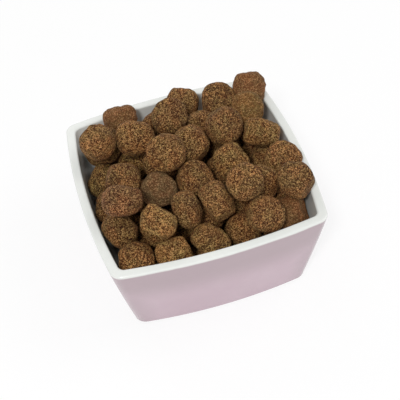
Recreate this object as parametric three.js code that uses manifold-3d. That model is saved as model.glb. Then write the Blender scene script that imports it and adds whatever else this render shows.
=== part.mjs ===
// A square glazed bowl with bowed sides, heaped with dry pet food.
// Millimetres, +Z up, origin at the middle of the foot, +Y towards the back.
import * as THREE from "three";
import { mergeVertices } from "three/addons/utils/BufferGeometryUtils.js";
import Module from "manifold-3d";

const wasm = await Module();
wasm.setup();

// Bowl sizes
const RIM_WIDTH = 100; // across the middles of two opposite sides
const BASE_WIDTH = 84;
const BOWL_HEIGHT = 46;
const WALL = 4;
const FLOOR = 7;
const SIDE_BOW = 4.4; // how far a rim side swells past a straight line
const WALL_BULGE = 1.2; // how far the wall swells past a straight taper
const OUTER_CORNER = 5;
const INNER_CORNER = 3;
const LIP_ROUND = 1.1;
const BASE_ROUND = 1.6;
const FLOOR_FILLET = 5;
const FOOT_BAND = 6; // width of the foot that the bowl stands on
const FOOT_RECESS = 1.5; // how far the underside is hollowed inside the foot

// Kibble sizes
const KIBBLE_DIAMETER = 16;
const KIBBLE_LENGTH = 12;
const KIBBLE_SQUARENESS = 0.6; // 1 is an ellipse, less is a flatter end and side
const SIZE_SPREAD = 0.05; // share by which one piece differs from the next
const SEAT_GAP = 0.3; // left between pieces that touch
const PRESS = 0.8; // how far the buried pieces are squeezed into each other
const BURIED_LAYERS = 2;
const BURIED_ACROSS = 5; // pieces along each side of a buried layer
const CLOSE_UP = 0.2; // step by which a buried layer is drawn in until it clears the wall

// Settling
const SHAKES = 500;
const LOWERINGS = 400;
const SINK = 0.15; // most that a piece sinks in one shake
const NUDGE = 0.01; // spare way by which a crowded piece is eased out
const SETTLED = 0.02; // slack over the seat gap at which a piece is at rest
const HOLD_SHARE = 0.05; // part of the way that a piece moves back over its place in one shake
const RISE_SHARE = 0.4; // rise of a crowded piece as a part of the way that it gives

// Facets
const SIDE_STEPS = 6;
const CORNER_STEPS = 3;
const WALL_STEPS = 4;
const ROUND_STEPS = 3;
const KIBBLE_SIDES = 10;
const KIBBLE_RINGS = 6;
const BURIED_SIDES = 8;
const BURIED_RINGS = 4;

const ORIGIN = new THREE.Vector2();
const QUARTER_TURN = Math.PI / 2;

// Colours: one glaze, and the browns that the food is baked to
const GLAZE = 0xe3d7dc;
const BROWN = 0x6b4a2e;
const GOLDEN = 0x7f5b34;
const REDDISH = 0x75452c;
const OLIVE = 0x66522f;
const GREYISH = 0x67533f;
const DARK_BROWN = 0x573b25;

const glazed = () => new THREE.MeshStandardMaterial({ color: GLAZE, roughness: 0.25, metalness: 0 });
const baked = (color) => new THREE.MeshStandardMaterial({ color, roughness: 0.95, metalness: 0 });

// Points along an arc, without its last one, so that arcs can be chained.
function arc(centreX, centreY, radius, from, to, steps) {
  const curve = new THREE.EllipseCurve(centreX, centreY, radius, radius, from, to, false);
  return curve.getPoints(steps).slice(0, -1);
}

// A square whose four sides are shallow arcs and whose corners are rounded, anticlockwise.
function bowedSquare(halfWidth, corner) {
  const bow = (SIDE_BOW * halfWidth * 2) / RIM_WIDTH;
  const sideRadius = (halfWidth ** 2 + bow ** 2) / (2 * bow);
  const setBack = sideRadius - halfWidth;
  const cornerCentre = (Math.sqrt(2 * (sideRadius - corner) ** 2 - setBack ** 2) - setBack) / 2;
  const swing = Math.atan2(cornerCentre, cornerCentre + setBack);
  const quarter = [
    ...arc(-setBack, 0, sideRadius, -swing, swing, SIDE_STEPS),
    ...arc(cornerCentre, cornerCentre, corner, swing, QUARTER_TURN - swing, CORNER_STEPS),
  ];
  return [0, 1, 2, 3].flatMap((turn) =>
    quarter.map((point) => point.clone().rotateAround(ORIGIN, turn * QUARTER_TURN)),
  );
}

// One level of the bowl: the bowed square of that half width, at that height.
function levelRing({ half, height, corner }) {
  return bowedSquare(half, corner).map((point) => new THREE.Vector3(point.x, point.y, height));
}

// A closed skin over rings of equally many points, each end shut by a fan to its middle.
function loft(rings) {
  const count = rings[0].length;
  const middle = (ring) =>
    ring.reduce((sum, point) => sum.add(point), new THREE.Vector3()).divideScalar(count);
  const points = [middle(rings[0]), ...rings.flat(), middle(rings.at(-1))];
  const at = (ring, step) => 1 + ring * count + (step % count);
  const faces = [];
  for (let step = 0; step < count; step++) {
    faces.push(0, at(0, step + 1), at(0, step));
    faces.push(points.length - 1, at(rings.length - 1, step), at(rings.length - 1, step + 1));
    for (let ring = 0; ring + 1 < rings.length; ring++) {
      faces.push(at(ring, step), at(ring, step + 1), at(ring + 1, step + 1));
      faces.push(at(ring, step), at(ring + 1, step + 1), at(ring + 1, step));
    }
  }
  return new THREE.BufferGeometry().setFromPoints(points).setIndex(faces);
}

// The wall's taper from the base round to the lip, bulging a little, moved in by a wall where asked.
function wallCurve(inset, lowest) {
  const low = new THREE.Vector2(BASE_WIDTH / 2 - inset, lowest);
  const high = new THREE.Vector2(RIM_WIDTH / 2 - inset, BOWL_HEIGHT - LIP_ROUND);
  const pull = low.clone().lerp(high, 0.5);
  pull.x += 2 * WALL_BULGE;
  return new THREE.QuadraticBezierCurve(low, pull, high);
}

// A quarter round between two directions, as half widths and heights.
function roundOff(half, height, radius, from, to) {
  const curve = new THREE.EllipseCurve(half, height, radius, radius, from, to, to < from);
  return curve.getPoints(ROUND_STEPS);
}

// The bowl's section, from the hollow under the foot, up the outside, over the lip and down to the floor.
function bowlLevels() {
  const footOuter = BASE_WIDTH / 2 - BASE_ROUND;
  const rimOuter = RIM_WIDTH / 2;
  const rimInner = rimOuter - WALL;
  const lipHeight = BOWL_HEIGHT - LIP_ROUND;
  const innerBase = BASE_WIDTH / 2 - WALL;
  const filletHeight = FLOOR + FLOOR_FILLET;
  const outside = [
    new THREE.Vector2(footOuter - FOOT_BAND - FOOT_RECESS, FOOT_RECESS),
    new THREE.Vector2(footOuter - FOOT_BAND, 0),
    ...roundOff(footOuter, BASE_ROUND, BASE_ROUND, -QUARTER_TURN, 0).slice(0, -1),
    ...wallCurve(0, BASE_ROUND).getPoints(WALL_STEPS).slice(0, -1),
    ...roundOff(rimOuter - LIP_ROUND, lipHeight, LIP_ROUND, 0, QUARTER_TURN),
  ];
  const inside = [
    ...roundOff(rimInner + LIP_ROUND, lipHeight, LIP_ROUND, QUARTER_TURN, 2 * QUARTER_TURN).slice(0, -1),
    ...wallCurve(WALL, filletHeight).getPoints(WALL_STEPS).reverse().slice(0, -1),
    ...roundOff(innerBase - FLOOR_FILLET, filletHeight, FLOOR_FILLET, 0, -QUARTER_TURN),
  ];
  const level = (corner) => (point) => ({ half: point.x, height: point.y, corner });
  return { outside: outside.map(level(OUTER_CORNER)), inside: inside.map(level(INNER_CORNER)) };
}

// The bowl's inside as convex blocks that pieces come to rest on: a thick slab under the floor and a ring of
// blocks behind the wall, reaching well outwards so that a crowded piece is never pushed through.
function bowlBlocks({ inside }) {
  const rings = inside.map(levelRing);
  const down = new THREE.Vector3(0, 0, -1);
  const outwards = ({ x, y }, z) => new THREE.Vector3(2 * x, 2 * y, z);
  const floor = rings.at(-1);
  const underFloor = floor.map(({ x, y }) => new THREE.Vector3(x, y, -BOWL_HEIGHT));
  const blocks = [convex([...floor, ...underFloor], [down])];
  for (let level = 0; level + 1 < rings.length; level++) {
    for (let step = 0; step < floor.length; step++) {
      const next = (step + 1) % floor.length;
      const face = [rings[level], rings[level + 1]].flatMap((ring) => [ring[step], ring[next]]);
      const intoWall = new THREE.Triangle(face[1], face[0], face[2]).getNormal(new THREE.Vector3());
      const beyond = face.map((point) => outwards(point, point.z));
      const under = face.map((point) => outwards(point, -BOWL_HEIGHT));
      blocks.push(convex([...face, ...beyond, ...under], [intoWall, down]));
    }
  }
  return blocks;
}

// A repeatable number from -1 to 1 for one piece and one of its traits.
function vary(piece, trait) {
  return 2 * THREE.MathUtils.seededRandom(piece * 7919 + trait * 104729 + 1) - 1;
}

// A pillow-ended pellet standing on its end: a squared-off ellipse turned about its axis.
function kibbleGeometry(radius, halfLength, sides, rings) {
  const power = (value) => Math.sign(value) * Math.abs(value) ** KIBBLE_SQUARENESS;
  const profile = [];
  for (let ring = 0; ring <= rings; ring++) {
    const angle = (ring / rings - 0.5) * Math.PI;
    const reach = ring % rings === 0 ? 0 : radius * power(Math.cos(angle));
    profile.push(new THREE.Vector2(reach, halfLength * power(Math.sin(angle))));
  }
  const turned = new THREE.LatheGeometry(profile, sides).rotateX(QUARTER_TURN);
  return bare(turned);
}

function cornersOf(geometry) {
  const position = geometry.getAttribute("position");
  const corner = (_, index) => new THREE.Vector3().fromBufferAttribute(position, index);
  return Array.from({ length: position.count }, corner);
}

function bare(geometry) {
  geometry.deleteAttribute("normal");
  geometry.deleteAttribute("uv");
  return mergeVertices(geometry, 1e-3);
}

// Directions spread evenly all round, along which a solid's reach from its middle is measured.
const DIRECTIONS = cornersOf(bare(new THREE.IcosahedronGeometry(1, 5)));

function reach(arms, way) {
  return arms.reduce((most, arm) => Math.max(most, arm.dot(way)), -Infinity);
}

// A convex solid as its middle and how far it reaches from there each way. A flat face that pieces lie
// against adds the way straight into it.
function convex(corners, intoFaces = []) {
  const { center: middle, radius } = new THREE.Sphere().setFromPoints(corners);
  const arms = corners.map((corner) => corner.clone().sub(middle));
  const ahead = DIRECTIONS.map((way) => reach(arms, way));
  const behind = DIRECTIONS.map((way) => reach(arms, way.clone().negate()));
  return { middle, radius, arms, ahead, behind, intoFaces };
}

// The gap between two convex solids, below zero where they overlap, and the way it is measured.
function gapBetween(a, b) {
  const apart = b.middle.clone().sub(a.middle);
  let best = { gap: apart.length() - a.radius - b.radius, way: apart.clone().normalize() };
  if (best.gap > SEAT_GAP) return best;
  const measure = (way, ahead, behind) => {
    const gap = apart.dot(way) - ahead - behind;
    if (gap > best.gap) best = { gap, way };
  };
  DIRECTIONS.forEach((way, i) => measure(way, a.ahead[i], b.behind[i]));
  b.intoFaces.forEach((way) => measure(way, reach(a.arms, way), reach(b.arms, way.clone().negate())));
  return best;
}

function leastGap(solid, others) {
  return others.reduce((least, other) => Math.min(least, gapBetween(solid, other).gap), Infinity);
}

// Shakes loose pieces down among fixed ones: each sinks a little, gives way where it crowds another, and
// keeps over its own place.
function shakeDown(loose, fixed) {
  const giveWay = (piece, other, share) => {
    const { gap, way } = gapBetween(piece, other);
    const push = SEAT_GAP - gap;
    if (push <= 0) return;
    piece.middle.addScaledVector(way, -push * share);
    other.middle.addScaledVector(way, push * (1 - share));
  };
  const places = loose.map(({ middle }) => middle.clone());
  for (let round = 0; round < SHAKES; round++) {
    const calm = Math.max(0, 1 - (2 * round) / SHAKES);
    loose.forEach((piece, i) => {
      piece.middle.x += (places[i].x - piece.middle.x) * HOLD_SHARE * calm;
      piece.middle.y += (places[i].y - piece.middle.y) * HOLD_SHARE * calm;
      piece.middle.z -= SINK * calm;
      loose.slice(i + 1).forEach((other) => giveWay(piece, other, 0.5));
      fixed.forEach((other) => giveWay(piece, other, 1));
    });
  }
}

// Eases a solid out of the others, a little upwards each time, then lowers it until it rests on one of them.
function restOn(solid, others) {
  for (let step = 0; step < LOWERINGS; step++) {
    const crowding = others.map((other) => gapBetween(solid, other)).filter(({ gap }) => gap < SEAT_GAP);
    if (crowding.length === 0) break;
    for (const { gap, way } of crowding) {
      const short = SEAT_GAP - gap + NUDGE;
      solid.middle.addScaledVector(way, -short);
      solid.middle.z += short * RISE_SHARE;
    }
  }
  for (let step = 0; step < LOWERINGS; step++) {
    const free = leastGap(solid, others) - SEAT_GAP;
    if (free < SETTLED) break;
    solid.middle.z -= free;
  }
}

function toManifold(geometry) {
  const merged = mergeVertices(geometry, 1e-3);
  return new wasm.Manifold(
    new wasm.Mesh({
      numProp: 3,
      vertProperties: new Float32Array(merged.getAttribute("position").array),
      triVerts: new Uint32Array(merged.index.array),
    }),
  );
}

function toGeometry(solid) {
  const { vertProperties, triVerts } = solid.getMesh();
  return new THREE.BufferGeometry()
    .setAttribute("position", new THREE.BufferAttribute(vertProperties, 3))
    .setIndex(new THREE.BufferAttribute(triVerts, 1));
}

function named(name, geometry, material) {
  const mesh = new THREE.Mesh(geometry, material);
  mesh.name = name;
  return mesh;
}

// One square layer of buried pieces, side by side at the given spacing.
function buriedLayer(layer, spacing) {
  const halfLength = KIBBLE_LENGTH / 2;
  const height = FLOOR + SEAT_GAP + SETTLED + halfLength + layer * (KIBBLE_LENGTH - PRESS);
  const middle = (BURIED_ACROSS - 1) / 2;
  const places = Array.from({ length: BURIED_ACROSS }, (_, index) => (index - middle) * spacing);
  return places.flatMap((across) =>
    places.map((deep) => {
      const geometry = kibbleGeometry(KIBBLE_DIAMETER / 2, halfLength, BURIED_SIDES, BURIED_RINGS);
      geometry.translate(across, deep, height);
      return { geometry, solid: convex(cornersOf(geometry)) };
    }),
  );
}

// The pieces under the heap: layers one on another from the floor up, each as wide as the press between its
// pieces and the wall round it allow.
function buriedPieces(walls) {
  const pieces = [];
  for (let layer = 0; layer < BURIED_LAYERS; layer++) {
    let spacing = KIBBLE_DIAMETER - PRESS;
    let spread = buriedLayer(layer, spacing);
    const crowded = ({ solid }) => leastGap(solid, walls) < SEAT_GAP;
    while (spacing > KIBBLE_DIAMETER / 2 && spread.some(crowded)) {
      spacing -= CLOSE_UP;
      spread = buriedLayer(layer, spacing);
    }
    pieces.push(...spread);
  }
  return pieces;
}

// The pieces that show. Each row places one: across, from front to back and up from the rim, in hundredths of
// half the rim's width, then the lean of its axis from upright and the way it leans, in degrees, and last its
// colour where that isn't plain brown.
const POURED = [
  // along the front wall
  [-68, -62, -12, 45, 250],
  [-40, -66, -10, 50, 96, GOLDEN],
  [-17, -68, -10, 60, 30, GOLDEN],
  [18, -68, -14, 25, 258],
  [70, -64, -10, 65, 345, REDDISH],
  // the layer under the crown, from front to back
  [-73, -37, -12, 60, 20],
  [-48, -40, -10, 40, 120],
  [-2, -34, -14, 30, 250],
  [32, -34, -14, 30, 290],
  [68, -30, -14, 20, 0],
  [-72, 0, -10, 45, 200],
  [-36, 0, -14, 20, 250],
  [-2, 0, -14, 30, 270, OLIVE],
  [32, 0, -14, 40, 280],
  [70, 4, -12, 30, 300],
  [-72, 30, -10, 40, 210, OLIVE],
  [-36, 32, -14, 30, 260, OLIVE],
  [0, 34, -14, 30, 260],
  [34, 34, -14, 20, 200],
  [72, 36, -8, 55, 0, REDDISH],
  [-64, 66, -14, 30, 135],
  [-32, 70, -14, 20, 90],
  [0, 70, -14, 20, 70],
  [32, 70, -14, 25, 90],
  [66, 68, -12, 30, 45],
  // the upper layer, from front to back
  [44, -70, 0, 42, 280],
  [-58, -44, 6, 49, 80, REDDISH],
  [-32, -48, 6, 57, 34, GOLDEN],
  [-16, -48, 6, 76, 1],
  [1, -46, 8, 72, 5],
  [27, -54, 8, 41, 258],
  [-54, -9, 14, 45, 250],
  [-36, -16, 12, 45, 265, GREYISH],
  [-5, -13, 14, 40, 255],
  [36, -11, 12, 50, 340, GOLDEN],
  [53, -38, 12, 40, 290],
  [76, -54, 14, 20, 230],
  [79, -20, 16, 30, 300],
  [59, 7, 16, 50, 60, GOLDEN],
  [67, 43, 12, 40, 260],
  [-69, 38, 14, 25, 210],
  [-64, 38, 14, 35, 260],
  [-21, 21, 14, 45, 270],
  [-49, 72, 12, 40, 90],
  [-10, 60, 12, 35, 280],
  [18, 72, 12, 30, 200],
  [42, 60, 14, 30, 280],
  [30, 44, 14, 40, 240],
  // the crown
  [-40, 35, 26, 30, 265],
  [32, 16, 24, 45, 300],
  [74, 62, 18, 30, 260, REDDISH],
  [10, 15, 28, 40, 258],
  [-2, 44, 26, 35, 280],
  [-14, 2, 24, 45, 230],
];

function pouredPiece(index, [across, deep, up, lean, toward, colour = BROWN]) {
  const radius = (KIBBLE_DIAMETER / 2) * (1 + SIZE_SPREAD * vary(index, 1));
  const halfLength = (KIBBLE_LENGTH / 2) * (1 + 2 * SIZE_SPREAD * vary(index, 2));
  const geometry = kibbleGeometry(radius, halfLength, KIBBLE_SIDES, KIBBLE_RINGS);
  geometry.scale(1 + SIZE_SPREAD * vary(index, 3), 1, 1);
  geometry.rotateZ(Math.PI * vary(index, 4));
  const away = THREE.MathUtils.degToRad(toward);
  const hinge = new THREE.Vector3(-Math.sin(away), Math.cos(away), 0);
  geometry.applyMatrix4(new THREE.Matrix4().makeRotationAxis(hinge, THREE.MathUtils.degToRad(lean)));
  const place = new THREE.Vector3(across, deep, up).multiplyScalar(RIM_WIDTH / 200);
  geometry.translate(place.x, place.y, BOWL_HEIGHT + place.z);
  const solid = convex(cornersOf(geometry));
  return { geometry, solid, colour, start: solid.middle.clone() };
}

const levels = bowlLevels();
const walls = bowlBlocks(levels);
const part = new THREE.Group();
part.name = "bowl_of_dry_food";
part.add(named("bowl", loft([...levels.outside, ...levels.inside].map(levelRing)), glazed()));

const buried = buriedPieces(walls);
const pressed = buried.map(({ geometry }) => toManifold(geometry)).reduce((all, piece) => all.add(piece));
part.add(named("kibble_below", toGeometry(pressed), baked(DARK_BROWN)));

const settled = [...walls, ...buried.map(({ solid }) => solid)];
const poured = POURED.map((row, index) => pouredPiece(index, row));
const loose = poured.map(({ solid }) => solid);
shakeDown(loose, settled);
loose.sort((a, b) => a.middle.z - b.middle.z);
for (const solid of loose) {
  restOn(solid, settled);
  settled.push(solid);
}
poured.forEach(({ geometry, solid, colour, start }, index) => {
  geometry.translate(...solid.middle.clone().sub(start));
  part.add(named(`kibble_${String(index + 1).padStart(2, "0")}`, geometry, baked(colour)));
});

export default part;
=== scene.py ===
"""A square glazed bowl heaped with dry pet food, dressed over its solid frame."""

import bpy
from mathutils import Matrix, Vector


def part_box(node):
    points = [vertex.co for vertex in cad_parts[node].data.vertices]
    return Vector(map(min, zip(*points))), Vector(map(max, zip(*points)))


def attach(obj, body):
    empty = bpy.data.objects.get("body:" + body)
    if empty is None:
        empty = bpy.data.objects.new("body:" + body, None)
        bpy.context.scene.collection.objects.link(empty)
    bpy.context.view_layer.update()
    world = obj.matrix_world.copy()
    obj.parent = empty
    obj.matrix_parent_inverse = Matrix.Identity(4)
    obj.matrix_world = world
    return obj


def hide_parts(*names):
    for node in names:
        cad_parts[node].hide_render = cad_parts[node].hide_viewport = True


bl_info = {
    "name": "Bowl of dry pet food",
    "version": (1, 0, 0),
    "blender": (4, 5, 0),
    "location": "3D View > Sidebar > Food Bowl",
    "description": "Builds a glazed bowl and the rough baked pieces of food heaped in it",
    "category": "Object",
}

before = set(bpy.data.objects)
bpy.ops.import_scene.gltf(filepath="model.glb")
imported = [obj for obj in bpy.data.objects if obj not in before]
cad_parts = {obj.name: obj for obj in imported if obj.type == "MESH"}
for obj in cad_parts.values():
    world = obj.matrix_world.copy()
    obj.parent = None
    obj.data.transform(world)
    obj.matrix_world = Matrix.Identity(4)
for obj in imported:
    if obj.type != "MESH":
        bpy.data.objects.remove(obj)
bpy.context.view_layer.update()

import math

import bpy
import numpy as np
from bpy.props import FloatProperty, FloatVectorProperty, IntProperty, PointerProperty
from mathutils import Matrix, Vector

BOWL_LOW, BOWL_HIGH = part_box("bowl")
PIECES = sorted(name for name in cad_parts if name.startswith("kibble_") and name[-1].isdigit())

# Loose pieces whose colour differs from plain brown.
COLOURED = {
    "golden": ("kibble_02", "kibble_03", "kibble_28", "kibble_35", "kibble_39", "kibble_40"),
    "reddish": ("kibble_05", "kibble_20", "kibble_27", "kibble_44", "kibble_51"),
    "olive": ("kibble_13", "kibble_16", "kibble_17"),
    "greyish": ("kibble_33",),
}

# Loose pieces with an evener crust, and the share of the grain that shows on them.
EVEN_CRUST = ("kibble_05", "kibble_33", "kibble_40", "kibble_44", "kibble_51")
EVEN_GRAIN = 0.5
FULL_GRAIN = 1.0

# From piece to piece the colour grows lighter and darker along a wave: its swing, and its step in radians.
SHADE_SWING = 0.10
SHADE_STEP = 2.4

# Seeds for the wear and the crust of the pieces.
LOOSE_SEED_STEP = 17
BURIED_SEED_STEP = 5
BURIED_SEED_START = 3

# Buried pieces in a row of a layer, and the faces round and along one of them.
BURIED_ROW = 5
BURIED_FACES = (40, 24)


def length(name, default, description):
    """A size in metres that a user may change."""
    return FloatProperty(
        name=name, default=default, description=description, min=0, unit="LENGTH", precision=5
    )


def colour(name, default, description):
    """A colour that a user may change."""
    return FloatVectorProperty(
        name=name, default=default, description=description, size=3, min=0, max=1, subtype="COLOR"
    )


def angle(name, degrees, description):
    """An angle that a user may change, given in degrees."""
    return FloatProperty(
        name=name, default=math.radians(degrees), description=description, subtype="ANGLE"
    )


def share(name, default, lowest, description):
    """A share of a whole that a user may change."""
    return FloatProperty(
        name=name, default=default, description=description, min=lowest, max=1, subtype="FACTOR"
    )


def count(name, default, least, description):
    """A whole number that a user may change."""
    return IntProperty(name=name, default=default, description=description, min=least)


class BowlSizes(bpy.types.PropertyGroup):
    """Sizes and colours of the glazed bowl"""

    rim_width: length("Rim Width", BOWL_HIGH.x - BOWL_LOW.x, "Across the middles of two opposite sides")
    base_width: length("Base Width", 0.084, "Across the bowl where the wall meets the foot")
    height: length("Height", BOWL_HIGH.z - BOWL_LOW.z, "From the foot to the top of the rim")
    wall: length("Wall", 0.004, "Thickness of the wall")
    floor: length("Floor", 0.007, "Height of the floor inside")
    side_bow: length("Side Bow", 0.0044, "How far a rim side swells past a straight line")
    outer_bulge: length("Outer Bulge", 0.0002, "How far the outside swells past a straight taper")
    inner_bulge: length("Inner Bulge", 0.0012, "How far the inside swells past a straight taper")
    outer_corner: length("Outer Corner", 0.005, "Radius of the outer corners")
    inner_corner: length("Inner Corner", 0.003, "Radius of the inner corners")
    lip_round: length("Lip Round", 0.0008, "Radius of the rim's two edges")
    base_round: length("Base Round", 0.0016, "Radius of the edge round the foot")
    floor_fillet: length("Floor Fillet", 0.005, "Radius between the floor and the wall inside")
    foot_band: length("Foot Band", 0.006, "Width of the foot that the bowl stands on")
    foot_recess: length("Foot Recess", 0.0015, "Depth of the hollow under the bowl")
    side_steps: count("Side Steps", 36, 4, "Faces along one side")
    corner_steps: count("Corner Steps", 12, 3, "Faces round one corner")
    inner_colour: colour("Inner Glaze", (0.775, 0.79, 0.757), "Rim and inside")
    inner_fog: colour("Inner Fog", (0.72, 0.745, 0.712), "Clouds in the glaze of the rim and the inside")
    outer_colour: colour("Outer Glaze", (0.545, 0.408, 0.466), "Outside")
    outer_fog: colour("Outer Fog", (0.60, 0.470, 0.525), "Clouds in the glaze of the outside")
    # Painted shade under the rim; the same colour also darkens the corners.
    rim_shade_and_corner_colour: colour("Rim Shade And Corners", (0.395, 0.312, 0.331), "Outside, under the rim and on the corners")
    speck_colour: colour("Speck", (0.22, 0.15, 0.10), "Iron specks in the glaze")


class FoodSizes(bpy.types.PropertyGroup):
    """Sizes and colours of the pieces of food"""

    diameter: length("Diameter", 0.016, "Across a buried piece")
    thickness: length("Thickness", 0.012, "Along the axis of a buried piece")
    squareness: share("Squareness", 0.60, 0.3, "1 is an ellipse, less is a flatter end and side")
    end_flat: share("End Flat", 0.94, 0.5, "Share of the half length where the flat ends start")
    flats: count("Flats", 7, 0, "Flat places worn on one piece")
    flat_depth: length("Flat Depth", 0.0010, "How deep a flat place is worn")
    lump_depth: length("Lump Depth", 0.00050, "Depth of the slow swells over a piece")
    crumb_depth: length("Crumb Depth", 0.00022, "Depth of the crumbs in its crust")
    pit_depth: length("Pit Depth", 0.00045, "Depth of the pits in its crust")
    clearance: length("Clearance", 0.00015, "Least room between two pieces")
    around: count("Around", 92, 12, "Faces round one loose piece")
    along: count("Along", 56, 8, "Faces from end to end of one loose piece")
    brown: colour("Brown", (0.246, 0.108, 0.0225), "Plain baked food")
    golden: colour("Golden", (0.275, 0.129, 0.026), "Food baked lightest")
    reddish: colour("Reddish", (0.248, 0.100, 0.024), "Food with a warm cast")
    olive: colour("Olive", (0.220, 0.107, 0.020), "Food with a green cast")
    greyish: colour("Greyish", (0.195, 0.094, 0.026), "Food with a dull cast")
    fleck: colour("Fleck", (0.52, 0.33, 0.14), "Pale crumbs in the crust")
    # The pits' colour is a painted shade in the hollows of the crust.
    pit: colour("Pit", (0.022, 0.011, 0.006), "Dark pits in the crust")


class StageSizes(bpy.types.PropertyGroup):
    """The floor and the camera"""

    floor_colour: colour("Floor", (0.95, 0.95, 0.95), "Colour of the floor")
    turn: angle("Turn", -12.5, "Camera's way round from the front")
    rise: angle("Rise", 48.68, "Camera's angle above the floor")
    tilt: angle("Tilt", -5.87, "Camera's turn about its own view")
    distance: length("Distance", 0.4857, "From the camera to the point that it looks at")
    aim: FloatVectorProperty(
        name="Aim",
        default=(0.00755, 0.02137, 0.0),
        description="Point that the camera looks at",
        subtype="TRANSLATION",
    )
    lens: FloatProperty(
        name="Lens", default=90.0, min=10, description="Focal length on a sensor 36 mm wide", unit="CAMERA"
    )


def skin(name, grids):
    """A mesh over one or more grids, given as pieces x rows x columns x 3. Columns close round on themselves.
    The first and last row of a grid are each one point, the pole, which a fan of triangles closes."""
    pieces, rows, columns, _ = grids.shape
    inner = grids[:, 1:-1].reshape(pieces, -1, 3)
    points = np.concatenate([grids[:, :1, 0], inner, grids[:, -1:, 0]], axis=1)
    total = points.shape[1]
    ring = np.arange((rows - 2) * columns).reshape(rows - 2, columns) + 1
    ahead = np.roll(ring, -1, axis=1)
    quads = np.stack([ring[:-1], ahead[:-1], ahead[1:], ring[1:]], axis=-1).reshape(-1, 4)
    first = np.stack([np.zeros(columns, int), ahead[0], ring[0]], axis=-1)
    last = np.stack([np.full(columns, total - 1), ring[-1], ahead[-1]], axis=-1)
    step = np.arange(pieces)[:, None, None] * total
    quads = (quads + step).reshape(-1, 4)
    fans = (np.concatenate([first, last]) + step).reshape(-1, 3)
    mesh = bpy.data.meshes.new(name)
    mesh.vertices.add(pieces * total)
    mesh.vertices.foreach_set("co", points.astype(np.float32).ravel())
    corners = np.concatenate([quads.ravel(), fans.ravel()]).astype(np.int32)
    starts = np.concatenate([np.arange(len(quads)) * 4, len(quads) * 4 + np.arange(len(fans)) * 3])
    mesh.loops.add(len(corners))
    mesh.loops.foreach_set("vertex_index", corners)
    mesh.polygons.add(len(starts))
    mesh.polygons.foreach_set("loop_start", starts.astype(np.int32))
    mesh.polygons.foreach_set("use_smooth", np.ones(len(starts), bool))
    mesh.update(calc_edges=True)
    mesh.validate()
    piece = bpy.data.objects.new(name, mesh)
    bpy.context.scene.collection.objects.link(piece)
    return piece


def pole_first(values):
    """One number for each point of a grid, in the order of skin's points: first pole, inner rows, last
    pole."""
    return np.concatenate([values[:1, 0], values[1:-1].ravel(), values[-1:, 0]])


def mark(piece, name, values):
    """Stores one number, or one colour, for each point of the mesh under a name that the material reads."""
    kind, field = ("FLOAT", "value") if values.ndim == 1 else ("FLOAT_COLOR", "color")
    attribute = piece.data.attributes.new(name, kind, "POINT")
    attribute.data.foreach_set(field, values.astype(np.float32).ravel())


def seat(piece, node):
    """Lets a finished piece stand for its solid in the frame."""
    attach(piece, "root")
    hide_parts(node)


def bowed_square(half, corner, bow_share, side_steps, corner_steps):
    """Rings of a square with bowed sides, one for each half width. Each side is an arc whose rise is
    bow_share of the half width, each corner a smaller arc that touches its two sides, and the four quarters
    are turned copies of one."""
    half, corner = half[:, None], corner[:, None]
    bow = bow_share * half
    side_radius = (half**2 + bow**2) / (2 * bow)
    set_back = side_radius - half
    corner_centre = (np.sqrt(2 * (side_radius - corner) ** 2 - set_back**2) - set_back) / 2
    swing = np.arctan2(corner_centre, corner_centre + set_back)
    side = -swing + 2 * swing * np.linspace(0, 1, side_steps, endpoint=False)
    bend = swing + (math.pi / 2 - 2 * swing) * np.linspace(0, 1, corner_steps, endpoint=False)
    x = np.concatenate([side_radius * np.cos(side) - set_back, corner_centre + corner * np.cos(bend)], axis=1)
    y = np.concatenate([side_radius * np.sin(side), corner_centre + corner * np.sin(bend)], axis=1)
    return np.concatenate([np.stack(q, axis=-1) for q in ((x, y), (-y, x), (-x, -y), (y, -x))], axis=1)


def quarter_round(half, height, radius, start, end, steps):
    """Half widths and heights along an arc between two angles in degrees."""
    turn = np.radians(np.linspace(start, end, steps))
    return np.stack([half + radius * np.cos(turn), height + radius * np.sin(turn)], axis=-1)


def level_run(start, end, height, steps):
    """Half widths and heights along a level line."""
    return np.stack([np.linspace(start, end, steps), np.full(steps, height)], axis=-1)


def wall_curve(sizes, inset, bulge, lowest, steps):
    """Half widths and heights up a wall: a parabola from the base to the lip, its middle swollen outwards by
    the bulge."""
    low = np.array([sizes.base_width / 2 - inset, lowest])
    high = np.array([sizes.rim_width / 2 - inset, sizes.height - sizes.lip_round])
    pull = (low + high) / 2 + np.array([2 * bulge, 0])
    t = np.linspace(0, 1, steps)[:, None]
    return (1 - t) ** 2 * low + 2 * t * (1 - t) * pull + t**2 * high


# Points along each stretch of the bowl's section.
UNDERSIDE_STEPS = 8
BASE_ROUND_STEPS = 9
OUTER_WALL_STEPS = 44
LIP_STEPS = 11
INNER_WALL_STEPS = 40
FILLET_STEPS = 10
FLOOR_STEPS = 10

# Half width of the smallest ring round the middle of the floor and of the underside.
POLE_RING = 0.0005

# Share of the slope from the recess down to the foot at which a ring keeps the foot's edge crisp.
SLOPE_RING = 0.9

# Most of a ring's half width that its corner radius may take.
CORNER_LIMIT = 0.3


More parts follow.
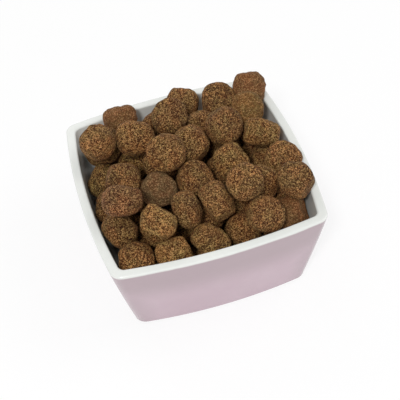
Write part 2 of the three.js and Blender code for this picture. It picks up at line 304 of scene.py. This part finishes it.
def bowl_section(sizes):
    """The bowl's section as half widths, heights and corner radii, from the middle of the underside, over the
    foot, up the outside, over the lip, down the inside and to the middle of the floor. Also gives, for each
    point, the way down the outside from the lip, below zero on the lip and inside."""
    foot = sizes.base_width / 2 - sizes.base_round
    rim = sizes.rim_width / 2
    lip = sizes.height - sizes.lip_round
    fillet = sizes.floor + sizes.floor_fillet
    recess = sizes.foot_recess
    foot_edge = foot - sizes.foot_band
    inner_foot = foot_edge - recess
    inner_floor = sizes.base_width / 2 - sizes.wall - sizes.floor_fillet
    outside = np.concatenate([
        level_run(POLE_RING, inner_foot, recess, UNDERSIDE_STEPS),
        [[inner_foot + SLOPE_RING * recess, (1 - SLOPE_RING) * recess]],
        [[foot_edge, 0], [(foot_edge + foot) / 2, 0]],
        quarter_round(foot, sizes.base_round, sizes.base_round, -90, 0, BASE_ROUND_STEPS)[:-1],
        wall_curve(sizes, 0, sizes.outer_bulge, sizes.base_round, OUTER_WALL_STEPS)[:-1],
        quarter_round(rim - sizes.lip_round, lip, sizes.lip_round, 0, 90, LIP_STEPS),
    ])
    inside = np.concatenate([
        quarter_round(rim - sizes.wall + sizes.lip_round, lip, sizes.lip_round, 90, 180, LIP_STEPS)[:-1],
        wall_curve(sizes, sizes.wall, sizes.inner_bulge, fillet, INNER_WALL_STEPS)[::-1][:-1],
        quarter_round(inner_floor, fillet, sizes.floor_fillet, 0, -90, FILLET_STEPS),
        level_run(inner_floor, POLE_RING, sizes.floor, FLOOR_STEPS)[1:],
    ])
    section = np.concatenate([outside, inside])
    corner = np.repeat([sizes.outer_corner, sizes.inner_corner], [len(outside), len(inside)])
    corner = np.minimum(corner, CORNER_LIMIT * section[:, 0])
    travel = np.append(0, np.cumsum(np.linalg.norm(np.diff(section, axis=0), axis=1)))
    below_lip = travel[len(outside) - 1] - travel
    return section[:, 0], section[:, 1], corner, below_lip


def place(tree, kind, sockets=None, **options):
    """Adds a node, sets its options and fills its sockets with values or with other nodes' outputs."""
    node = tree.nodes.new(kind)
    for option, value in options.items():
        setattr(node, option, value)
    for socket, value in (sockets or {}).items():
        if isinstance(value, bpy.types.NodeSocket):
            tree.links.new(value, node.inputs[socket])
        else:
            node.inputs[socket].default_value = value
    return node


def blended(tree, factor, first, second, way="MIX"):
    """Two colours blended by a factor. The mix node keeps its colours in its inputs 6 and 7 and output 2."""
    values = {0: factor, 6: first, 7: second}
    return place(tree, "ShaderNodeMix", values, data_type="RGBA", blend_type=way).outputs[2]


def dyed(tree, tint, factors):
    """A colour multiplied by three factors, one for each of red, green and blue."""
    return blended(tree, 1.0, tint, factors, "MULTIPLY")


def ramped(tree, value, low, high, start=0.0, end=1.0):
    """A value moved smoothly from one range to another and held there."""
    values = {"Value": value, "From Min": low, "From Max": high, "To Min": start, "To Max": end}
    return place(tree, "ShaderNodeMapRange", values, interpolation_type="SMOOTHSTEP").outputs[0]


def worked(tree, operation, first, second):
    """Two values added, multiplied or otherwise put together."""
    return place(tree, "ShaderNodeMath", {0: first, 1: second}, operation=operation).outputs[0]


def moved(tree, operation, sockets):
    """A vector scaled, added to or otherwise worked on."""
    return place(tree, "ShaderNodeVectorMath", sockets, operation=operation).outputs[0]


def noise(tree, coordinates, scale, detail=2.0, roughness=0.5):
    """Cloudy noise with so many features per metre, as its value and as a colour."""
    values = {"Vector": coordinates, "Scale": scale, "Detail": detail, "Roughness": roughness}
    return place(tree, "ShaderNodeTexNoise", values).outputs


def cells(tree, coordinates, scale):
    """Cells so many to the metre: the way from each one's middle, and a chance colour for each."""
    return place(tree, "ShaderNodeTexVoronoi", {"Vector": coordinates, "Scale": scale}).outputs


def channels(tree, tint):
    """The red, green and blue of a colour as three values."""
    return place(tree, "ShaderNodeSeparateColor", {0: tint}).outputs


def marked(tree, name):
    """What the mesh stores under a name."""
    return place(tree, "ShaderNodeAttribute", attribute_name=name).outputs


def finish_material(name):
    """A new material's node tree with its shader."""
    material = bpy.data.materials.new(name)
    material.use_nodes = True
    tree = material.node_tree
    tree.nodes.clear()
    shader = place(tree, "ShaderNodeBsdfPrincipled")
    place(tree, "ShaderNodeOutputMaterial", {"Surface": shader.outputs[0]})
    return material, tree, shader


def raise_skin(tree, shader, height, strength, depth):
    """Bumps a material's skin by a height."""
    bump = {"Strength": strength, "Distance": depth, "Height": height}
    tree.links.new(place(tree, "ShaderNodeBump", bump).outputs[0], shader.inputs["Normal"])


# Features of the baked grain per metre.
PATCH_SCALE = 170.0
DUST_SCALE = 1900.0
SWAY_SCALE = 1100.0
CRUMB_SCALE = 2600.0
SMALL_CRUMB_SCALE = 4100.0

# How far the crumbs' outlines sway, in metres.
SWAY_REACH = 0.0006

# The value about which noise swings.
NOISE_MIDDLE = 0.5

# Shares of the small crumbs and of the dust in the crumbs' shade, and the power that leaves fewer pale ones.
SMALL_CRUMB_SHARE = 0.35
DUST_SHARE = 0.4
CRUMB_POWER = 2.4

# How far flecks stand over the crumbs and pits lie under them, as shares of the crumbs' height.
FLECK_HEIGHT = 0.4
PIT_HEIGHT = 0.8

# Ranges of noise and of chance, from none of an effect to all of it.
MOTTLE_RANGE = (0.35, 0.65)
CAST_RANGE = (0.38, 0.62)
CRUMB_RANGE = (0.05, 0.95)
FLECK_RANGE = (0.80, 0.90)
PIT_RANGE = (0.09, 0.04)
CELL_EDGE = (0.62, 0.38)


def baked_grain():
    """A group that gives the crust of baked food. Mottle and Cast are slow patches of dark and of hue, Crumb
    the shade of each fine crumb, Warmth its hue, Fleck the pale ones, Pit the holes, which the crust paints
    dark as a painted shade, and Height the relief."""
    group = bpy.data.node_groups.get("baked grain")
    if group:
        return group
    group = bpy.data.node_groups.new("baked grain", "ShaderNodeTree")
    scale = group.interface.new_socket("Grain Scale", in_out="INPUT", socket_type="NodeSocketFloat")
    scale.default_value = 1.0
    for name in ("Mottle", "Cast", "Crumb", "Warmth", "Fleck", "Pit", "Height"):
        group.interface.new_socket(name, in_out="OUTPUT", socket_type="NodeSocketFloat")
    enter = place(group, "NodeGroupInput")
    space = place(group, "ShaderNodeTexCoord").outputs["Object"]
    space = moved(group, "SCALE", {0: space, "Scale": enter.outputs["Grain Scale"]})
    patch = channels(group, noise(group, space, PATCH_SCALE, detail=3.0)["Color"])
    dust = noise(group, space, DUST_SCALE, detail=3.0, roughness=0.6)[0]
    sway = moved(group, "SCALE", {0: noise(group, space, SWAY_SCALE)["Color"], "Scale": SWAY_REACH})
    space = moved(group, "ADD", {0: space, 1: sway})
    coarse = cells(group, space, CRUMB_SCALE)
    small = cells(group, space, SMALL_CRUMB_SCALE)
    chance = channels(group, coarse["Color"])
    inside = ramped(group, coarse["Distance"], *CELL_EDGE)
    fleck = worked(group, "MULTIPLY", ramped(group, chance[0], *FLECK_RANGE), inside)
    pit = worked(group, "MULTIPLY", ramped(group, chance[1], *PIT_RANGE), inside)
    mixed = channels(group, blended(group, SMALL_CRUMB_SHARE, coarse["Color"], small["Color"]))
    dust = worked(group, "MULTIPLY", worked(group, "SUBTRACT", dust, NOISE_MIDDLE), DUST_SHARE)
    crumb = ramped(group, worked(group, "ADD", mixed[0], dust), *CRUMB_RANGE)
    crumb = worked(group, "POWER", crumb, CRUMB_POWER)
    height = worked(group, "ADD", crumb, worked(group, "MULTIPLY", fleck, FLECK_HEIGHT))
    height = worked(group, "SUBTRACT", height, worked(group, "MULTIPLY", pit, PIT_HEIGHT))
    results = {
        "Mottle": ramped(group, patch[0], *MOTTLE_RANGE),
        "Cast": ramped(group, patch[1], *CAST_RANGE),
        "Crumb": crumb,
        "Warmth": mixed[2],
        "Fleck": fleck,
        "Pit": pit,
        "Height": height,
    }
    place(group, "NodeGroupOutput", results)
    return group


# Factors on a piece's own colour: slow patches of hue, the hue of single crumbs, the darkest and the palest
# crumbs, and the evener crust.
COOL_PATCH = (0.93, 1.03, 1.03, 1)
WARM_PATCH = (1.06, 0.975, 0.93, 1)
GREEN_CRUMB = (0.89, 1.04, 0.94, 1)
RED_CRUMB = (1.12, 0.95, 1.0, 1)
DARK_CRUMB = (0.17, 0.095, 0.02, 1)
PALE_CRUMB = (2.68, 3.25, 5.25, 1)
EVEN_CRUMB = (0.84, 0.94, 1.38, 1)

# How strongly the mottle, the flecks and the painted shade in the pits colour the crust.
MOTTLE_SHARE = 0.3
FLECK_SHARE = 0.55
PIT_SHADE_SHARE = 0.8

# Roughness of a dark and of a pale crumb.
CRUST_ROUGHNESS = (0.92, 0.72)


def crust_material(food):
    """Baked food: its own brown, lighter and darker by the grain, with pale flecks, painted shade in the pits
    and a rough crust."""
    made = bpy.data.materials.get("food crust")
    if made:
        return made
    material, tree, shader = finish_material("food crust")
    grain = place(tree, "ShaderNodeGroup", node_tree=baked_grain()).outputs
    stored = marked(tree, "tint")
    tint = dyed(tree, stored["Color"], blended(tree, grain["Cast"], COOL_PATCH, WARM_PATCH))
    tint = dyed(tree, tint, blended(tree, grain["Warmth"], GREEN_CRUMB, RED_CRUMB))
    dark = dyed(tree, tint, DARK_CRUMB)
    base = blended(tree, grain["Crumb"], dark, dyed(tree, tint, PALE_CRUMB))
    base = blended(tree, stored["Alpha"], dyed(tree, tint, EVEN_CRUMB), base)
    base = blended(tree, worked(tree, "MULTIPLY", grain["Mottle"], MOTTLE_SHARE), base, dark)
    base = blended(tree, worked(tree, "MULTIPLY", grain["Fleck"], FLECK_SHARE), base, (*food.fleck, 1))
    # Painted shade: the pits are made near black.
    base = blended(tree, worked(tree, "MULTIPLY", grain["Pit"], PIT_SHADE_SHARE), base, (*food.pit, 1))
    tree.links.new(base, shader.inputs["Base Color"])
    tree.links.new(ramped(tree, grain["Crumb"], 0.0, 1.0, *CRUST_ROUGHNESS), shader.inputs["Roughness"])
    shader.inputs["Specular IOR Level"].default_value = 0.3
    shader.inputs["Diffuse Roughness"].default_value = 1.0
    raise_skin(tree, shader, grain["Height"], strength=0.9, depth=0.00035)
    return material


# Where the white glaze of the rim gives way to the outer glaze, in metres below the lip, and how far that
# line wavers.
GLAZE_LINE = (0.0015, 0.0028)
GLAZE_WAVER = 0.0012

# Where the outside is darker: below the lip by a painted shade under the rim, and along the corners; in
# metres below the lip and away from a corner, each with its least and its greatest share.
SHADE_BELOW_LIP = (0.0290, 0.0100, 0.0, 0.70)
DARK_AT_CORNER = (0.0110, 0.0, 0.0, 0.50)

# Range of the clouds' noise, and the share of fog and the roughness that it gives.
FOG_RANGE = (0.35, 0.70, 0.0, 0.45)
GLAZE_ROUGHNESS = (0.3, 0.7, 0.14, 0.24)

# Specks: cells per metre, chance of one, the size of one as a share of its cell, and how dark it is.
SPECK_SCALE = 130.0
SPECK_RANGE = (0.90, 0.93)
SPECK_EDGE = (0.055, 0.025)
SPECK_SHARE = 0.55

# Features per metre of the line's waver, the clouds and the two ripples, and the share of the fine ripple.
WAVER_SCALE = 90.0
CLOUD_SCALE = 45.0
RIPPLE_SCALE = 120.0
FINE_RIPPLE_SCALE = 700.0
FINE_RIPPLE_SHARE = 0.08


def glaze_material(sizes):
    """Gloss glaze: near white on the rim and inside, pale mauve outside, darker under the rim by a painted
    shade and darker on the corners, with a soft cloudiness, a few iron specks and a faint ripple."""
    material, tree, shader = finish_material("bowl glaze")
    space = place(tree, "ShaderNodeTexCoord").outputs["Object"]
    below = marked(tree, "below_lip")["Fac"]
    corner = marked(tree, "from_corner")["Fac"]
    waver = worked(tree, "MULTIPLY", noise(tree, space, WAVER_SCALE, detail=3.0)[0], GLAZE_WAVER)
    outside = ramped(tree, worked(tree, "ADD", below, waver), *GLAZE_LINE)
    # Painted shade under the rim, joined with a darkening along each corner.
    rim_shade_and_corner = ramped(tree, below, *SHADE_BELOW_LIP)
    rim_shade_and_corner = worked(tree, "MAXIMUM", rim_shade_and_corner, ramped(tree, corner, *DARK_AT_CORNER))
    cloud = noise(tree, space, CLOUD_SCALE, detail=4.0, roughness=0.55)[0]
    fog = ramped(tree, cloud, *FOG_RANGE)
    mauve = blended(tree, fog, (*sizes.outer_colour, 1), (*sizes.outer_fog, 1))
    # The outside is darkened towards the painted shade under the rim and on the corners.
    mauve = blended(tree, rim_shade_and_corner, mauve, (*sizes.rim_shade_and_corner_colour, 1))
    white = blended(tree, fog, (*sizes.inner_colour, 1), (*sizes.inner_fog, 1))
    base = blended(tree, outside, white, mauve)
    dots = cells(tree, space, SPECK_SCALE)
    chance = ramped(tree, channels(tree, dots["Color"])[0], *SPECK_RANGE)
    speck = worked(tree, "MULTIPLY", chance, ramped(tree, dots["Distance"], *SPECK_EDGE))
    base = blended(tree, worked(tree, "MULTIPLY", speck, SPECK_SHARE), base, (*sizes.speck_colour, 1))
    tree.links.new(base, shader.inputs["Base Color"])
    tree.links.new(ramped(tree, cloud, *GLAZE_ROUGHNESS), shader.inputs["Roughness"])
    fine = worked(tree, "MULTIPLY", noise(tree, space, FINE_RIPPLE_SCALE)[0], FINE_RIPPLE_SHARE)
    ripple = worked(tree, "ADD", noise(tree, space, RIPPLE_SCALE)[0], fine)
    raise_skin(tree, shader, ripple, strength=0.25, depth=0.0004)
    return material


class OBJECT_OT_glazed_bowl(bpy.types.Operator):
    """Loft the bowl over its section and glaze it"""

    bl_idname = "object.glazed_bowl"
    bl_label = "Glazed Bowl"

    def execute(self, context):
        sizes = context.scene.bowl_sizes
        half, height, corner, below_lip = bowl_section(sizes)
        bow_share = 2 * sizes.side_bow / sizes.rim_width
        rings = bowed_square(half, corner, bow_share, sizes.side_steps, sizes.corner_steps)
        columns = rings.shape[1]
        levels = np.repeat(height[:, None, None], columns, axis=1)
        grid = np.concatenate([rings, levels], axis=2)
        poles = np.repeat(grid[[0, -1]].mean(1, keepdims=True), columns, axis=1)
        grid = np.concatenate([poles[:1], grid, poles[1:]])
        bowl = skin("glazed_bowl", grid[None])
        below = np.concatenate([below_lip[:1], below_lip, below_lip[-1:]])
        mark(bowl, "below_lip", pole_first(np.repeat(below[:, None], columns, axis=1)))
        aside = np.abs(grid[..., 0]) - np.abs(grid[..., 1])
        mark(bowl, "from_corner", pole_first(np.abs(aside) / math.sqrt(2)))
        bowl.data.materials.append(glaze_material(sizes))
        seat(bowl, "bowl")
        return {"FINISHED"}


# Half height of the belt round a pellet in which its two cross sizes are measured, as a share of its half
# length.
BELT_SHARE = 0.1


def corners_of(node):
    """The different corners of a solid of the frame, to a thousandth of a millimetre."""
    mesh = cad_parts[node].data
    points = np.empty(len(mesh.vertices) * 3, np.float32)
    mesh.vertices.foreach_get("co", points)
    return np.unique(points.reshape(-1, 3).astype(float).round(6), axis=0)


def measure_piece(node):
    """Middle, three axes and half sizes of a pellet. Its axis is the way through its middle along which it is
    thinnest, and the other two are the long and the short way across the belt round its middle. The half size
    on each of these is the root of twice the belt's mean square on it."""
    corners = corners_of(node)
    arms = corners - corners.mean(0)
    ways = arms / np.linalg.norm(arms, axis=1, keepdims=True)
    reach = arms @ ways.T
    axis = ways[(reach.max(0) - reach.min(0)).argmin()]
    ends = corners[[(corners @ axis).argmin(), (corners @ axis).argmax()]]
    middle = ends.mean(0)
    half_length = np.linalg.norm(ends[1] - ends[0]) / 2
    axis = (ends[1] - ends[0]) / (2 * half_length)
    offset = (corners - middle) @ axis
    belt = np.abs(offset) < BELT_SHARE * half_length
    ring = (corners - middle - offset[:, None] * axis)[belt]
    spread, ways = np.linalg.eigh(ring.T @ ring / len(ring))
    across = ways[:, 2]
    axes = np.stack([across, np.cross(axis, across), axis])
    return middle, axes, np.array([math.sqrt(2 * spread[2]), math.sqrt(2 * spread[1]), half_length])


def loose_places():
    """Middle, axes and half sizes of each loose pellet."""
    return [measure_piece(node) for node in PIECES]


def buried_places(food):
    """Middle, axes and half sizes of each buried pellet: two square layers, lying on their ends, that fill
    the reach of the buried solid."""
    corners = corners_of("kibble_below")
    halves = np.array([food.diameter, food.diameter, food.thickness]) / 2
    low, high = corners[:, 2].min() + halves[2], corners[:, 2].max() - halves[2]
    layers = [corners[corners[:, 2] < low], corners[corners[:, 2] > high]]
    places = []
    for layer, level in zip(layers, (low, high)):
        reach = np.abs(layer[:, :2]).max() - halves[0]
        steps = np.linspace(-reach, reach, BURIED_ROW)
        places += [(np.array([x, y, level]), np.eye(3), halves) for x in steps for y in steps]
    return places


# Multipliers that scramble the place of a lattice corner and the seed, what the first seed starts from, the
# largest number kept on the way, and the largest that a corner can have.
PLACE_SCRAMBLE = np.array([73856093, 19349663, 83492791])
SEED_SCRAMBLE = 40503
SEED_START = 977
LAST_SCRAMBLE = 1274126177
LARGEST_KEPT = 0x7FFFFFFF
LARGEST_CORNER = 0xFFFF


def lattice_noise(points, cell, seed):
    """Smooth noise from -1 to 1: a scrambled number at each corner of a cubic lattice of that cell, blended
    between the eight corners round each point."""
    spot = points / cell
    base = np.floor(spot).astype(np.int64)
    part = spot - base
    part = part * part * (3 - 2 * part)
    total = np.zeros(points.shape[:-1])
    for corner in np.ndindex(2, 2, 2):
        number = np.bitwise_xor.reduce((base + np.array(corner)) * PLACE_SCRAMBLE, axis=-1)
        number = number ^ (seed * SEED_SCRAMBLE + SEED_START)
        number = (number ^ (number >> 13)) * LAST_SCRAMBLE & LARGEST_KEPT
        number = (number ^ (number >> 15)) & LARGEST_CORNER
        weight = np.where(np.array(corner) == 1, part, 1 - part).prod(-1)
        total += weight * (2 * number / LARGEST_CORNER - 1)
    return total


# Pellets whose middle is further off than so many half sizes are no neighbours.
NEIGHBOUR_REACH = 4

# Points along a pellet's outline from which its even steps are taken.
OUTLINE_SAMPLES = 721

# Share of the way back to their planes that the ends and the flat places are pressed, and the least and the
# greatest share of the flat depth that one flat place has.
END_PRESS = 0.8
FLAT_PRESS = 0.85
FLAT_RANGE = (0.5, 1.5)

# Sizes of the swells, the crumbs and the pits, in metres.
SWELL_CELL = 0.0062
CRUMB_CELL = 0.0021
FINE_CRUMB_CELL = 0.0011
PIT_CELL = 0.0017

# How far the swells are sunk, the share of the fine crumbs, and the gain and the level that make pits of
# noise.
SWELL_SINK = 0.15
FINE_CRUMB_SHARE = 0.6
PIT_GAIN = 2.2
PIT_LEVEL = 0.9


def room_left(points, others, squareness):
    """How far each point lies from the nearest of the other pellets, measured towards that pellet's middle.
    A point's way out of a pellet is 1 on its skin, and grows evenly along each line from the middle."""
    room = np.full(points.shape[:-1], np.inf)
    for middle, axes, halves in others:
        if np.linalg.norm(middle - points.mean((0, 1))) > NEIGHBOUR_REACH * halves.max():
            continue
        arm = points - middle
        local = (arm @ axes.T / halves) ** 2
        wide = (local[..., 0] + local[..., 1]) ** (1 / squareness)
        way_out = (wide + local[..., 2] ** (1 / squareness)) ** (squareness / 2)
        room = np.minimum(room, np.linalg.norm(arm, axis=-1) * (1 - 1 / way_out))
    return room


def smooth_pellet(halves, squareness, around, along):
    """A smooth pellet about its own middle, and the outward slope of its skin. An ellipse squared off from
    end to end is turned about its axis: the cross size is the cosine and the height the sine of the angle,
    each to the power of the squareness, at even steps along the outline."""
    turn = np.linspace(0, 2 * math.pi, around, endpoint=False)
    rise = np.linspace(-math.pi / 2, math.pi / 2, OUTLINE_SAMPLES)
    wide = np.clip(np.cos(rise), 0, None) ** squareness
    high = np.sign(np.sin(rise)) * np.abs(np.sin(rise)) ** squareness
    travel = np.append(0, np.cumsum(np.hypot(np.diff(wide) * halves[0], np.diff(high) * halves[2])))
    even = np.linspace(0, travel[-1], along + 1)
    wide = np.interp(even, travel, wide)[:, None]
    high = np.interp(even, travel, high)[:, None]
    wide[[0, -1]] = 0
    unit = np.stack([wide * np.cos(turn), wide * np.sin(turn), high + 0 * turn], axis=-1)
    power = 2 / squareness
    aside = unit[..., :2] * wide[..., None] ** (power - 2)
    steep = np.sign(high) * np.abs(high) ** (power - 1) + 0 * turn
    slope = np.concatenate([aside, steep[..., None]], axis=-1) / halves
    slope /= np.linalg.norm(slope, axis=-1, keepdims=True)
    return unit * halves, slope


def worn(local, halves, food, seed):
    """A pellet with flat ends and a few flat places, each made by moving what stands over a plane most of the
    way back to it."""
    over = np.clip(np.abs(local[..., 2]) - food.end_flat * halves[2], 0, None)
    local[..., 2] -= np.sign(local[..., 2]) * END_PRESS * over
    chance = np.random.default_rng(seed)
    for way in chance.normal(size=(food.flats, 3)):
        way /= np.linalg.norm(way)
        reach = local @ way
        over = np.clip(reach - reach.max() + food.flat_depth * chance.uniform(*FLAT_RANGE), 0, None)
        local = local - FLAT_PRESS * over[..., None] * way
    return local


def crust_depth(local, food, seed):
    """How far the crust stands out at each point of a pellet: slow swells and crumbs of two sizes, less the
    pits."""
    swell = lattice_noise(local, SWELL_CELL, seed) - SWELL_SINK
    crumb = lattice_noise(local, CRUMB_CELL, seed + 1)
    crumb = crumb + FINE_CRUMB_SHARE * lattice_noise(local, FINE_CRUMB_CELL, seed + 2)
    pit = np.clip(lattice_noise(local, PIT_CELL, seed + 3) * PIT_GAIN - PIT_LEVEL, 0, 1)
    return food.lump_depth * swell + food.crumb_depth * crumb - food.pit_depth * pit


def pellet(spot, food, faces, seed, others):
    """A rough pellet in its place: a smooth one, worn flat in places, whose skin is then moved along its own
    slope by the depth of its crust, but outwards by no more than half of what the room to the other pellets
    leaves over the clearance."""
    middle, axes, halves = spot
    local, slope = smooth_pellet(halves, food.squareness, *faces)
    local = worn(local, halves, food, seed)
    room = room_left(middle + local @ axes, others, food.squareness)
    depth = np.minimum(crust_depth(local, food, seed), (room - food.clearance) / 2)
    local = local + slope * depth[..., None]
    local[[0, -1]] = local[[0, -1]].mean(1, keepdims=True)
    return middle + local @ axes


def dress_food(name, grids, tint, food, node):
    """Makes the mesh of one or more pellets, tints it, gives it its crust and seats it. The tint's fourth
    number is the share of the grain that shows."""
    piece = skin(name, grids)
    mark(piece, "tint", np.tile(tint, (len(piece.data.vertices), 1)))
    piece.data.materials.append(crust_material(food))
    seat(piece, node)


class OBJECT_OT_loose_food(bpy.types.Operator):
    """Dress each loose piece of food as a rough baked pellet of its own size and lean"""

    bl_idname = "object.loose_food"
    bl_label = "Loose Food"

    def execute(self, context):
        if not PIECES:
            raise RuntimeError("The frame holds no loose food")
        food = context.scene.food_sizes
        names = {node: name for name, nodes in COLOURED.items() for node in nodes}
        loose = loose_places()
        below = buried_places(food)
        for index, node in enumerate(PIECES):
            others = loose[:index] + loose[index + 1:] + below
            grid = pellet(loose[index], food, (food.around, food.along), LOOSE_SEED_STEP * index, others)
            shade = 1 + SHADE_SWING * math.sin(SHADE_STEP * index)
            tint = shade * np.array(getattr(food, names.get(node, "brown")))
            tint = np.append(tint, EVEN_GRAIN if node in EVEN_CRUST else FULL_GRAIN)
            dress_food(node.replace("kibble", "food_piece"), grid[None], tint, food, node)
        return {"FINISHED"}


class OBJECT_OT_buried_food(bpy.types.Operator):
    """Dress the food under the heap as two square layers of pellets that lie on their ends"""

    bl_idname = "object.buried_food"
    bl_label = "Buried Food"

    def execute(self, context):
        food = context.scene.food_sizes
        loose = loose_places()
        grids = [
            pellet(spot, food, BURIED_FACES, BURIED_SEED_STEP * index + BURIED_SEED_START, loose)
            for index, spot in enumerate(buried_places(food))
        ]
        tint = np.array([*food.brown, FULL_GRAIN])
        dress_food("food_below", np.stack(grids), tint, food, "kibble_below")
        return {"FINISHED"}


# Half width of the floor, in metres.
FLOOR_HALF = 3.0

# The floor is seen partly as plain white: a near and a far distance from the bowl's middle in metres, and the
# share of white at each.
FLOOR_WHITE = (0.2, 1.2, 0.78, 1.0)

# Strength of the white surround as a light, and as it is seen.
SURROUND_LIGHT = 0.58
SURROUND_SEEN = 1.0

# Each soft lamp's place, width and power in watts, and the point that all of them face.
LAMPS = {
    "key lamp": ((-0.30, -0.59, 0.88), 0.14, 4.6),
    "fill lamp": ((0.75, -0.05, 0.75), 0.6, 2.0),
    "back lamp": ((-0.20, 0.85, 0.60), 0.6, 1.3),
}
LAMP_AIM = (0, 0, 0.03)

# Width of the camera's sensor in mm, and the nearest that it sees in metres.
SENSOR_WIDTH = 36.0
NEAREST = 0.01

WHITE = (1, 1, 1, 1)


def seen_ray(tree):
    """1 for rays that come from the camera, from a mirror or through glass, 0 for rays that only bring
    light."""
    path = place(tree, "ShaderNodeLightPath").outputs
    mirrored = worked(tree, "MAXIMUM", path["Is Glossy Ray"], path["Is Transmission Ray"])
    return worked(tree, "MAXIMUM", path["Is Camera Ray"], mirrored)


def white_floor(scene, tint):
    """A flat square floor. It takes the shadow, and is seen whiter than it is lit, more so away from the
    bowl."""
    mesh = bpy.data.meshes.new("floor")
    corners = [(x * FLOOR_HALF, y * FLOOR_HALF, 0) for x, y in ((-1, -1), (1, -1), (1, 1), (-1, 1))]
    mesh.from_pydata(corners, [], [(0, 1, 2, 3)])
    floor = bpy.data.objects.new("floor", mesh)
    scene.collection.objects.link(floor)
    material = bpy.data.materials.new("floor white")
    material.use_nodes = True
    tree = material.node_tree
    tree.nodes.clear()
    matt = place(tree, "ShaderNodeBsdfDiffuse", {"Color": (*tint, 1)})
    glow = place(tree, "ShaderNodeEmission", {"Color": WHITE, "Strength": 1.0})
    spot = place(tree, "ShaderNodeTexCoord").outputs["Object"]
    away = place(tree, "ShaderNodeVectorMath", {0: spot}, operation="LENGTH").outputs["Value"]
    white = worked(tree, "MULTIPLY", seen_ray(tree), ramped(tree, away, *FLOOR_WHITE))
    both = place(tree, "ShaderNodeMixShader", {0: white, 1: matt.outputs[0], 2: glow.outputs[0]})
    place(tree, "ShaderNodeOutputMaterial", {"Surface": both.outputs[0]})
    mesh.materials.append(material)


def white_surround(scene):
    """A surround that is seen white and lights the bowl softly."""
    world = bpy.data.worlds.new("white surround")
    scene.world = world
    world.use_nodes = True
    tree = world.node_tree
    tree.nodes.clear()
    strength = ramped(tree, seen_ray(tree), 0.0, 1.0, SURROUND_LIGHT, SURROUND_SEEN)
    back = place(tree, "ShaderNodeBackground", {"Color": WHITE, "Strength": strength})
    place(tree, "ShaderNodeOutputWorld", {"Surface": back.outputs[0]})


def soft_lamp(scene, name, spot, width, power):
    """A square soft lamp that faces the heap."""
    data = bpy.data.lights.new(name, "AREA")
    data.size = width
    data.energy = power
    lamp = bpy.data.objects.new(name, data)
    lamp.location = spot
    lamp.rotation_mode = "QUATERNION"
    lamp.rotation_quaternion = (Vector(LAMP_AIM) - Vector(spot)).to_track_quat("-Z", "Y")
    scene.collection.objects.link(lamp)


def aimed_camera(scene, stage):
    """A camera at a distance from its aim, turned round it, raised over the floor and tilted about its
    view."""
    back = Vector((
        math.sin(stage.turn) * math.cos(stage.rise),
        -math.cos(stage.turn) * math.cos(stage.rise),
        math.sin(stage.rise),
    ))
    right = Vector((math.cos(stage.turn), math.sin(stage.turn), 0))
    level = Matrix((right, back.cross(right), back)).transposed()
    turned = level @ Matrix.Rotation(stage.tilt, 3, "Z")
    data = bpy.data.cameras.new("camera")
    data.lens = stage.lens
    data.sensor_width = SENSOR_WIDTH
    data.clip_start = NEAREST
    camera = bpy.data.objects.new("camera", data)
    camera.matrix_world = Matrix.Translation(Vector(stage.aim) + back * stage.distance) @ turned.to_4x4()
    scene.collection.objects.link(camera)
    scene.camera = camera


class SCENE_OT_food_stage(bpy.types.Operator):
    """Set the floor, the white surround, the soft lamps and the camera"""

    bl_idname = "scene.food_stage"
    bl_label = "Stage"

    def execute(self, context):
        scene = context.scene
        scene.view_settings.view_transform = "Standard"
        white_floor(scene, scene.stage_sizes.floor_colour)
        white_surround(scene)
        for name, (spot, width, power) in LAMPS.items():
            soft_lamp(scene, name, spot, width, power)
        aimed_camera(scene, scene.stage_sizes)
        return {"FINISHED"}


class VIEW3D_PT_food_bowl(bpy.types.Panel):
    """Lists the pieces in the order that they are built, and their sizes and colours"""

    bl_label = "Bowl of Dry Pet Food"
    bl_space_type = "VIEW_3D"
    bl_region_type = "UI"
    bl_category = "Food Bowl"

    def draw(self, context):
        for operator in OPERATORS:
            self.layout.operator(operator.bl_idname)
        for name in GROUPS:
            group = getattr(context.scene, name)
            box = self.layout.box()
            for size in group.__annotations__:
                box.prop(group, size)


GROUPS = {"bowl_sizes": BowlSizes, "food_sizes": FoodSizes, "stage_sizes": StageSizes}
OPERATORS = (OBJECT_OT_glazed_bowl, OBJECT_OT_buried_food, OBJECT_OT_loose_food, SCENE_OT_food_stage)
CLASSES = (*GROUPS.values(), *OPERATORS, VIEW3D_PT_food_bowl)


def register():
    """Adds the classes, and the groups of sizes to the scene."""
    for one in CLASSES:
        bpy.utils.register_class(one)
    for name, group in GROUPS.items():
        setattr(bpy.types.Scene, name, PointerProperty(type=group))


def unregister():
    """Takes away what register added."""
    for name in GROUPS:
        delattr(bpy.types.Scene, name)
    for one in reversed(CLASSES):
        bpy.utils.unregister_class(one)


def main():
    """Builds the pieces and the stage."""
    register()
    bpy.ops.object.glazed_bowl()
    bpy.ops.object.buried_food()
    bpy.ops.object.loose_food()
    bpy.ops.scene.food_stage()
    bpy.context.view_layer.update()


if __name__ == "__main__":
    main()
